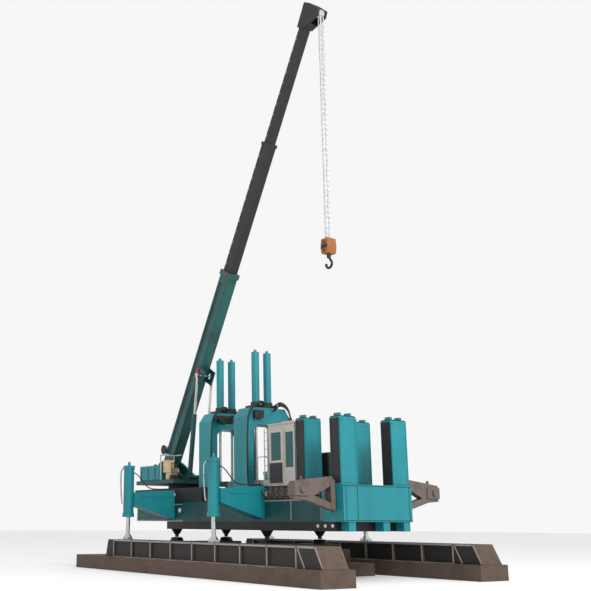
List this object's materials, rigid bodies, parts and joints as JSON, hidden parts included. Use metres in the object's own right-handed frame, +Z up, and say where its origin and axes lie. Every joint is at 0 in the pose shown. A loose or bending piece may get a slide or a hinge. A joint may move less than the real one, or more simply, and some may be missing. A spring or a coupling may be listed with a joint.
{
  "type": "pile driver rig",
  "caption": "Static press-in pile driver on walking pontoons, with press gantries around a pile clamp, an operator's cab, ballast boxes and a slewing telescopic crane.",
  "frame": {"origin": "on the ground under the middle of the pontoons", "axes": "+X towards the ballast end, +Y towards the side away from the cab, +Z up"},
  "size_m": [15.15, 8.1, 21.3387],
  "materials": {
    "teal": "gloss enamel, weathered",
    "dark_teal": "gloss enamel in the shade, oily",
    "black": "greasy black paint",
    "hull": "rusty mill plate",
    "chrome": "hard chrome, oily",
    "grey_brown": "dusty primer",
    "offwhite": "dusty off-white enamel",
    "cream": "vinyl seat",
    "orange": "worn orange enamel",
    "rope": "bright wire rope",
    "glass": "tinted cab glass",
    "rubber": "hydraulic hose",
    "light": "lamp lens",
    "pad": "black seat vinyl"
  },
  "bodies": {
    "chassis": {"main_frame": "black", "well_frame": "dark_teal", "rear_body": "dark_teal", "rear_deck": "black", "front_body": "dark_teal", "front_deck": "black", "ballast_box": "teal", "ballast_post_near_front": "teal", "ballast_post_far_front": "teal", "ballast_post_near_rear": "teal", "ballast_post_far_rear": "teal", "press_gantry_rear": "teal", "press_gantry_front": "teal", "jack_near_rear": "teal", "jack_near_front": "teal", "jack_far_rear": "teal", "jack_far_front": "teal", "side_bracket_near": "grey_brown", "side_bracket_far": "grey_brown", "cab_shell": "offwhite", "cab_seat": "pad", "power_pack": "black", "slew_ring": "black"},
    "near_jacks": {"jack_foot_near_rear": "chrome", "jack_foot_near_front": "chrome"},
    "near_long_boat": {"long_boat_near": "hull"},
    "far_jacks": {"jack_foot_far_rear": "chrome", "jack_foot_far_front": "chrome"},
    "far_long_boat": {"long_boat_far": "hull"},
    "rear_carriage": {"turning_carriage_rear": "black"},
    "rear_short_boat": {"short_boat_rear": "hull"},
    "front_carriage": {"turning_carriage_front": "black"},
    "front_short_boat": {"short_boat_front": "hull"},
    "clamp": {"clamp_box": "teal", "press_rods_rear": "chrome", "press_rods_front": "chrome"},
    "crane": {"crane_turret": "dark_teal", "crane_house": "teal", "crane_seat": "cream", "crane_seat_frame": "offwhite"},
    "boom": {"boom_base": "dark_teal"},
    "boom_mid_section": {"boom_mid": "black"},
    "boom_tip_section": {"boom_tip": "black"},
    "hoist": {"hoist_ropes": "rope", "hook_block": "orange"},
    "hook": {"hook": "black"},
    "luff_barrels": {"luff_barrels": "dark_teal"},
    "luff_rods": {"luff_rods": "chrome"},
    "cab_door": {"cab_door": "offwhite"}
  },
  "joints": [
    {"name": "near_jack_lift", "type": "slide", "parent": "chassis", "child": "near_jacks", "axis": [0, 0, -1], "range_m": [-0.3, 0.6]},
    {"name": "near_boat_travel", "type": "slide", "parent": "near_jacks", "child": "near_long_boat", "axis": [1, 0, 0], "range_m": [-3.6, 0.1]},
    {"name": "far_jack_lift", "type": "slide", "parent": "chassis", "child": "far_jacks", "axis": [0, 0, -1], "range_m": [-0.3, 0.6]},
    {"name": "far_boat_travel", "type": "slide", "parent": "far_jacks", "child": "far_long_boat", "axis": [1, 0, 0], "range_m": [-3.31, 0.39]},
    {"name": "rear_carriage_turn", "type": "hinge", "parent": "chassis", "child": "rear_carriage", "pos_m": [-4.28, 0, 1.1], "axis": [0, 0, 1], "range_deg": [-8, 8]},
    {"name": "rear_boat_shift", "type": "slide", "parent": "rear_carriage", "child": "rear_short_boat", "axis": [0, 1, 0], "range_m": [-0.28, 0.28]},
    {"name": "front_carriage_turn", "type": "hinge", "parent": "chassis", "child": "front_carriage", "pos_m": [1.52, 0, 1.1], "axis": [0, 0, 1], "range_deg": [-8, 8]},
    {"name": "front_boat_shift", "type": "slide", "parent": "front_carriage", "child": "front_short_boat", "axis": [0, 1, 0], "range_m": [-0.28, 0.28]},
    {"name": "press_stroke", "type": "slide", "parent": "chassis", "child": "clamp", "axis": [0, 0, 1], "range_m": [0, 1.75]},
    {"name": "crane_slew", "type": "hinge", "parent": "chassis", "child": "crane", "pos_m": [-5.4, 0, 3.26], "axis": [0, 0, 1], "continuous": true},
    {"name": "boom_luff", "type": "hinge", "parent": "crane", "child": "boom", "pos_m": [-6.75, 0, 4], "axis": [0, -1, 0], "range_deg": [-9.5, 16.4]},
    {"name": "boom_telescope", "type": "slide", "parent": "boom", "child": "boom_mid_section", "axis": [0.506, 0, 0.8625], "range_m": [-2, 1.5]},
    {"name": "boom_telescope_tip", "type": "slide", "parent": "boom_mid_section", "child": "boom_tip_section", "axis": [0.506, 0, 0.8625], "range_m": [-2, 1.5]},
    {"name": "hoist_hang", "type": "hinge", "parent": "boom_tip_section", "child": "hoist", "pos_m": [3.71314, 0, 20.60878], "axis": [0, -1, 0], "range_deg": [-17, 10]},
    {"name": "hook_swivel", "type": "hinge", "parent": "hoist", "child": "hook", "pos_m": [3.81314, 0, 11.02], "axis": [0, 0, 1], "continuous": true},
    {"name": "luff_cylinder_tilt", "type": "hinge", "parent": "crane", "child": "luff_barrels", "pos_m": [-4.65, 0, 3.55], "axis": [0, -1, 0], "range_deg": [-10.5, 17.5]},
    {"name": "luff_cylinder_stroke", "type": "slide", "parent": "luff_barrels", "child": "luff_rods", "axis": [0.1343, 0, 0.9909], "range_m": [-0.4, 0.65]},
    {"name": "cab_door_hinge", "type": "hinge", "parent": "chassis", "child": "cab_door", "pos_m": [2.88, -1.516, 3.06], "axis": [0, 0, 1], "range_deg": [0, 100]}
  ],
  "couplings": [
    {"joint": "boom_telescope_tip", "follows": "boom_telescope", "ratio": 1},
    {"joint": "hoist_hang", "follows": "boom_luff", "ratio": -1},
    {"joint": "luff_cylinder_tilt", "follows": "boom_luff", "ratio": 0.934},
    {"joint": "luff_cylinder_stroke", "follows": "boom_luff", "m_per_rad": 2.117}
  ]
}
